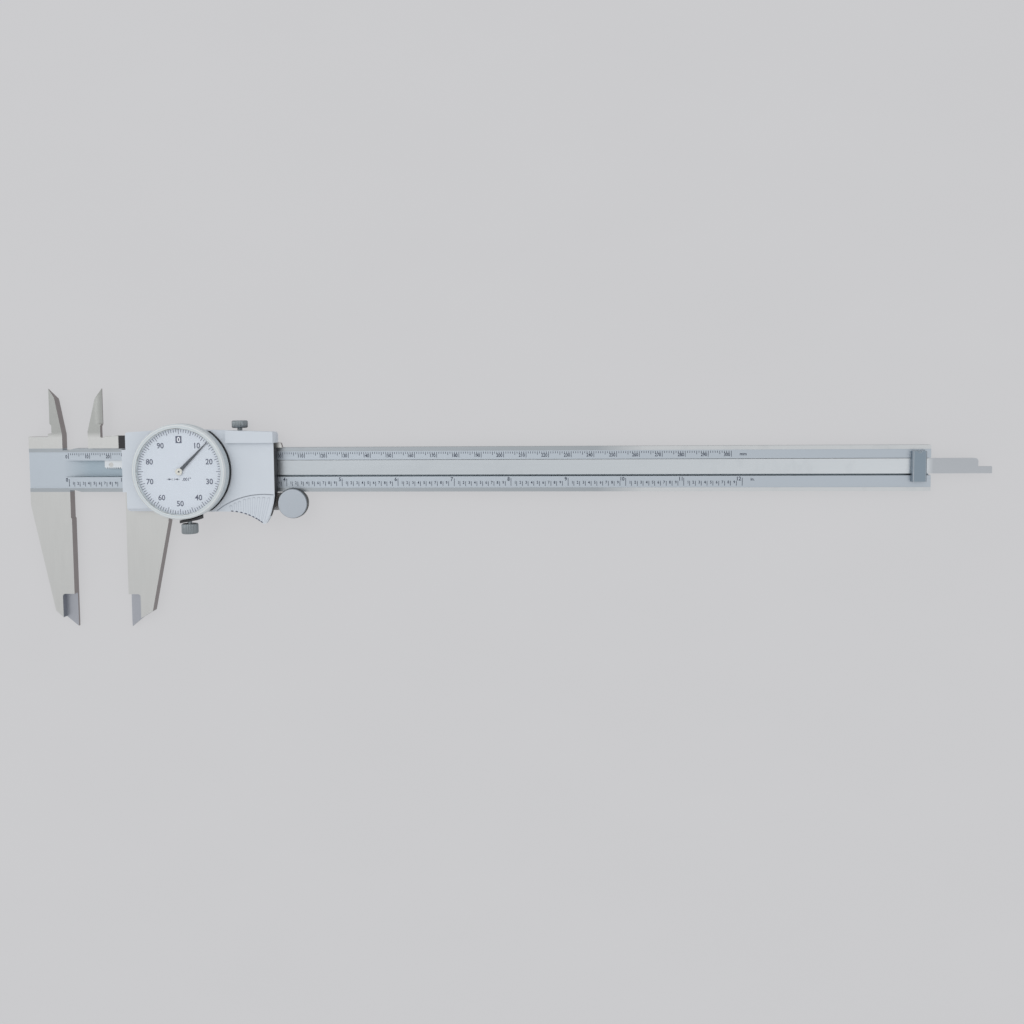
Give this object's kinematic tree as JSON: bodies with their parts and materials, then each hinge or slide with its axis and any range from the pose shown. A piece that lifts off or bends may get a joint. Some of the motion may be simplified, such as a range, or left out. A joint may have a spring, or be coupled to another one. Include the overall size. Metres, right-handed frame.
{
  "type": "dial caliper",
  "caption": "Dial caliper with outside and inside jaws, depth rod, knurled lock and bezel screws, thumb roller and a geared dial, lying on its back, slightly open.",
  "frame": {"origin": "under the middle of the whole instrument as it lies, on the back plate's rest plane", "axes": "+X along the beam from the fixed jaw to the depth rod's tip, +Y across it to the inside jaws, +Z out of the dial"},
  "size_m": [0.4296, 0.1102, 0.0176],
  "materials": {
    "ground_steel": "finely ground",
    "screw_steel": "turned",
    "knurled_steel": "knurled",
    "rack_steel": "milled",
    "spring_steel": "rolled",
    "brass": "turned",
    "back_steel": "satin",
    "cover_paint": "fine matt paint",
    "bezel_plastic": "semi-gloss",
    "black_plastic": "moulded",
    "dial_print": "matt, printed",
    "hand_blue": "satin",
    "cap_cream": "satin",
    "crystal_clear": "polished"
  },
  "bodies": {
    "beam": {"beam": "ground_steel", "end_stop": "ground_steel", "end_stop_screws": "screw_steel", "rack": "rack_steel", "rack_screws": "screw_steel"},
    "slider": {"slider_frame": "ground_steel", "gib": "spring_steel", "gib_screws": "screw_steel", "lock_shoe": "brass", "back_plate": "back_steel", "back_plate_screws": "screw_steel", "roller_axle": "screw_steel", "depth_rod": "ground_steel", "rod_rivets": "screw_steel", "slider_cover": "cover_paint", "left_wiper": "black_plastic", "right_wiper": "black_plastic", "hairspring": "spring_steel", "spring_stud": "brass", "movement_plate": "brass", "movement_bridge": "brass", "movement_pillars": "screw_steel", "movement_screws": "screw_steel", "arbor_bushes": "brass", "dial_housing": "black_plastic", "clamp_bracket": "black_plastic"},
    "hand": {"centre_pinion": "rack_steel", "hand": "hand_blue", "hand_hub": "hand_blue", "hand_cap": "cap_cream"},
    "drive": {"rack_pinion": "rack_steel", "drive_gear": "brass"},
    "takeup": {"takeup_gear": "brass", "takeup_arbor": "rack_steel"},
    "roller": {"thumb_roller": "knurled_steel"},
    "bezel": {"bezel": "bezel_plastic", "dial_face": "dial_print", "dial_ring": "bezel_plastic", "crystal": "crystal_clear"},
    "lock": {"lock_screw": "knurled_steel"},
    "clamp": {"clamp_screw": "knurled_steel"}
  },
  "joints": [
    {"name": "slider_travel", "type": "slide", "parent": "beam", "child": "slider", "axis": [1, 0, 0], "range_m": [-0.0257, 0.279]},
    {"name": "hand_turn", "type": "hinge", "parent": "slider", "child": "hand", "pos_m": [-0.13962, 0.01795, 0.00835], "axis": [0, 0, 1], "continuous": true},
    {"name": "drive_turn", "type": "hinge", "parent": "slider", "child": "drive", "pos_m": [-0.13218, 0.01695, 0.00835], "axis": [0, 0, 1], "continuous": true},
    {"name": "takeup_turn", "type": "hinge", "parent": "slider", "child": "takeup", "pos_m": [-0.14705, 0.01895, 0.00835], "axis": [0, 0, 1], "continuous": true},
    {"name": "roller_turn", "type": "hinge", "parent": "slider", "child": "roller", "pos_m": [-0.09102, 0.00293, 0.00535], "axis": [0, 0, 1], "continuous": true},
    {"name": "bezel_turn", "type": "hinge", "parent": "slider", "child": "bezel", "pos_m": [-0.13962, 0.01795, 0.01535], "axis": [0, 0, 1], "continuous": true},
    {"name": "lock_turn", "type": "hinge", "parent": "slider", "child": "lock", "pos_m": [-0.11612, 0.03685, 0.00395], "axis": [0, 1, 0], "range_deg": [-240, 120]},
    {"name": "clamp_turn", "type": "hinge", "parent": "slider", "child": "clamp", "pos_m": [-0.13632, -0.00715, 0.01385], "axis": [0, 1, 0], "range_deg": [-120, 240]}
  ],
  "couplings": [
    {"joint": "hand_turn", "follows": "slider_travel", "rad_per_m": -2473.7},
    {"joint": "drive_turn", "follows": "slider_travel", "rad_per_m": 618.42},
    {"joint": "takeup_turn", "follows": "slider_travel", "rad_per_m": 618.42},
    {"joint": "roller_turn", "follows": "slider_travel", "rad_per_m": 203.25}
  ]
}
